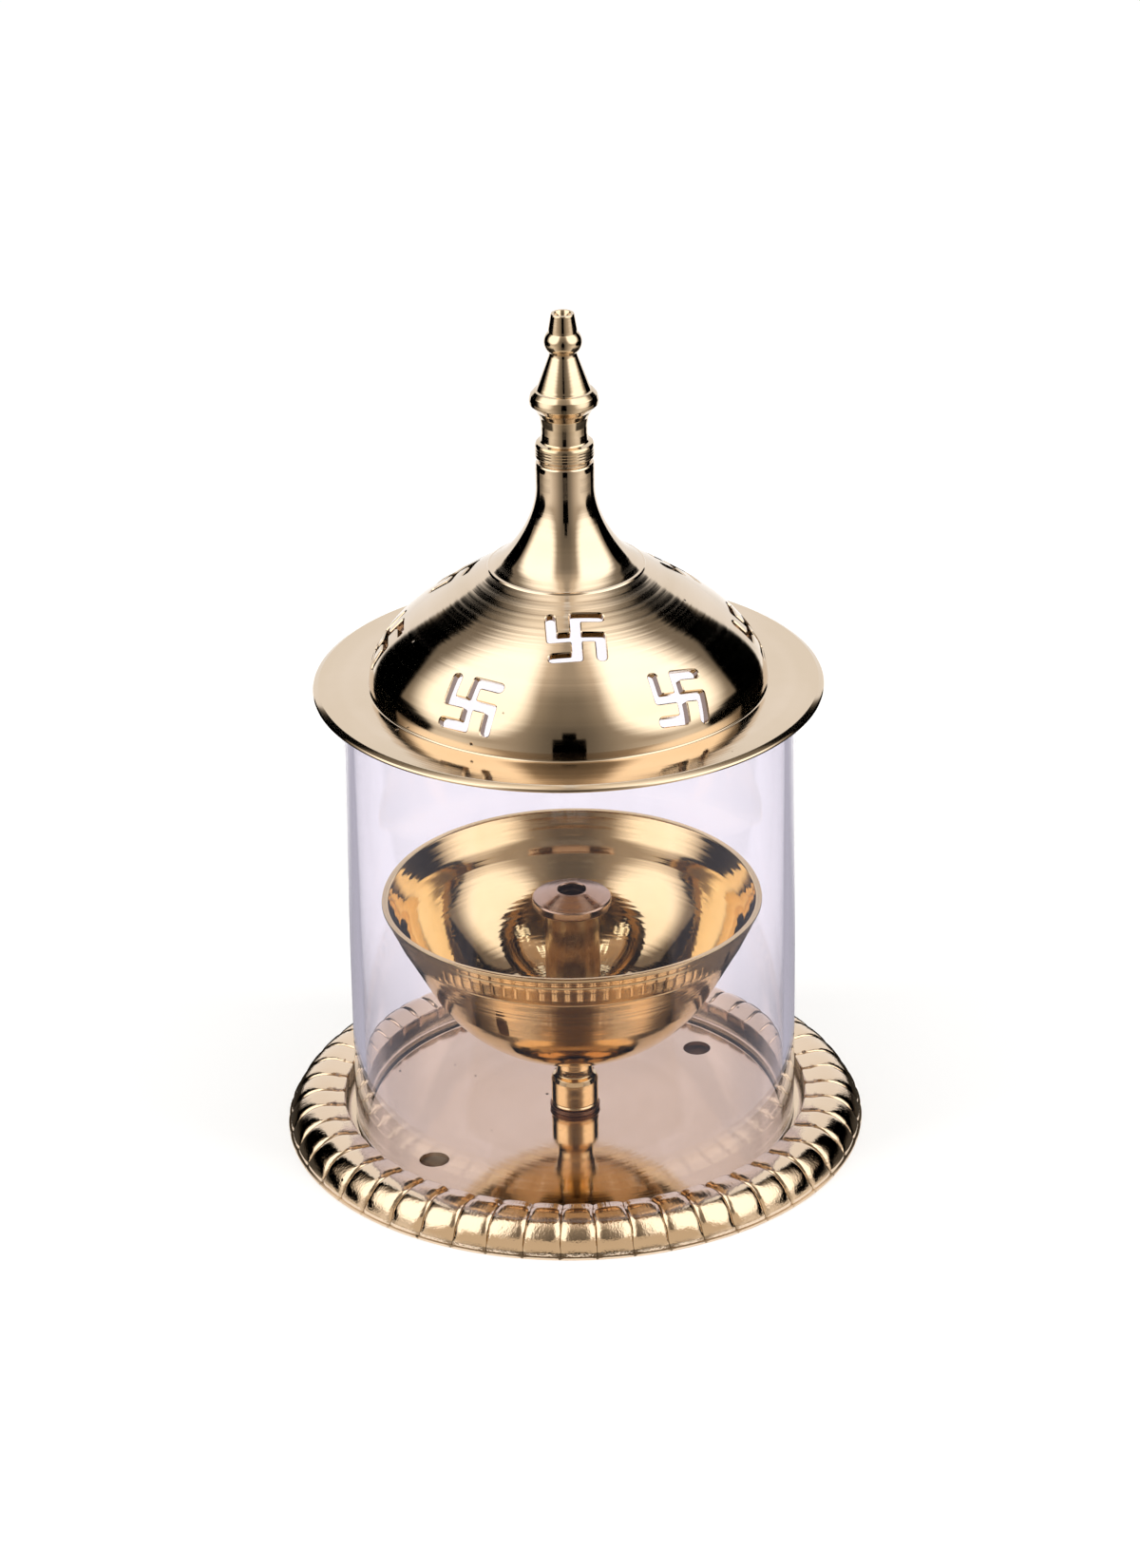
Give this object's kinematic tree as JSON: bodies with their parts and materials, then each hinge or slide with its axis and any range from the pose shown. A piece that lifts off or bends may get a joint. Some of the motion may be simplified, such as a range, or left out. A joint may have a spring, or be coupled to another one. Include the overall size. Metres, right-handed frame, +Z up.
{
  "type": "glass-chimney oil lamp",
  "caption": "Brass akhand diya: oil bowl with a central wick holder on a fluted base plate, under a glass chimney with a pierced domed lid and turned finial.",
  "frame": {"origin": "centre of the base plate at the level of its resting edge", "axes": "+Z up along the lamp's turned axis; the pictured side faces -Y"},
  "size_m": [0.105, 0.105, 0.155],
  "materials": {
    "brass_sheet": "polished",
    "brass_plain": "satin",
    "brass_copper_tone": "turned",
    "brass_cast": "polished, lathe turned",
    "brass_dark": "as cast, darkened",
    "clear_glass": "clear, faint lavender tint"
  },
  "bodies": {
    "base": {"base_plate": "brass_sheet", "base_screw": "brass_plain", "stem_washer": "brass_copper_tone", "oil_bowl": "brass_cast", "wick_post": "brass_dark"},
    "wick_cap": {"wick_cap": "brass_copper_tone"},
    "chimney": {"glass_chimney": "clear_glass"},
    "lid": {"lid": "brass_cast", "finial": "brass_cast"}
  },
  "joints": [
    {"name": "wick_cap_lift", "type": "slide", "parent": "base", "child": "wick_cap", "axis": [0, 0, 1], "range_m": [0, 0.012]},
    {"name": "chimney_lift", "type": "slide", "parent": "base", "child": "chimney", "axis": [0, 0, 1], "range_m": [0, 0.05]},
    {"name": "lid_lift", "type": "slide", "parent": "chimney", "child": "lid", "axis": [0, 0, 1], "range_m": [0, 0.03]}
  ]
}
